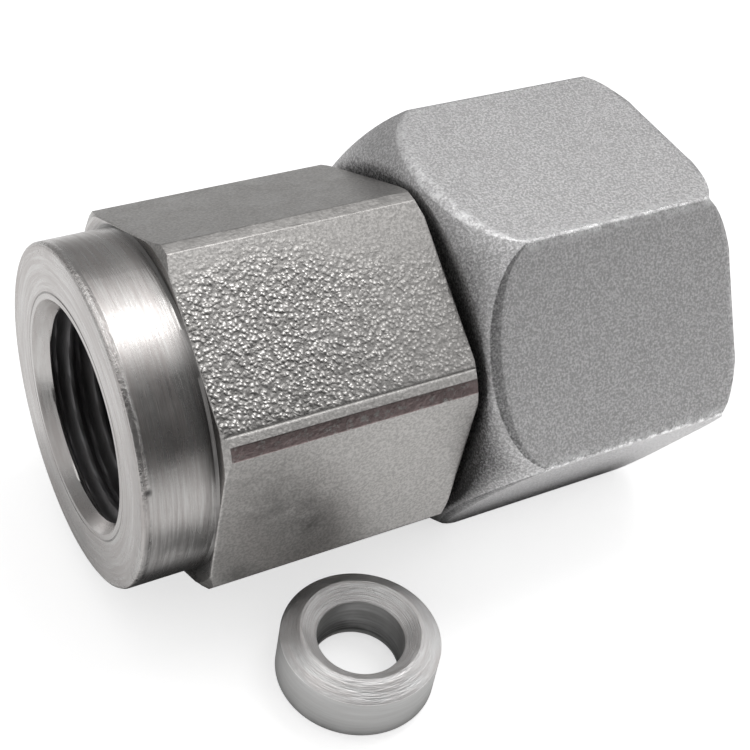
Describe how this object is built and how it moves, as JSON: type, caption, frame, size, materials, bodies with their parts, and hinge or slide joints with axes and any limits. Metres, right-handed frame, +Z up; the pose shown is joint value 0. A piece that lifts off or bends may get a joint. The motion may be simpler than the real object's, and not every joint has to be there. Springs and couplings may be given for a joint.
{
  "type": "pressure gauge adapter",
  "caption": "Hexagonal steel pressure gauge adapter with a round threaded gauge port, a forged union nut turning on a tube stub, and a loose sealing ring.",
  "frame": {"origin": "centre of the round nose's end face, on the gauge port's axis", "axes": "+X along the adapter from the gauge port to the tube stub, +Z up as the adapter lies on one flat of its nut, the loose ring on the -Y side"},
  "size_m": [0.0392, 0.0309, 0.022],
  "materials": {
    "turned_steel": "turned and zinc plated, bright satin",
    "forged_steel": "forged, blasted and zinc plated, matt",
    "hardened_steel": "turned, hardened, dark satin",
    "seal_steel": "turned, bright"
  },
  "bodies": {
    "adapter": {"adapter_body": "turned_steel", "cutting_ring": "hardened_steel", "gauge_sealing_ring": "seal_steel"},
    "nut": {"union_nut": "forged_steel"}
  },
  "joints": [
    {"name": "nut_spin", "type": "hinge", "parent": "adapter", "child": "nut", "pos_m": [0.02735, 0, 0], "axis": [1, 0, 0], "continuous": true}
  ]
}
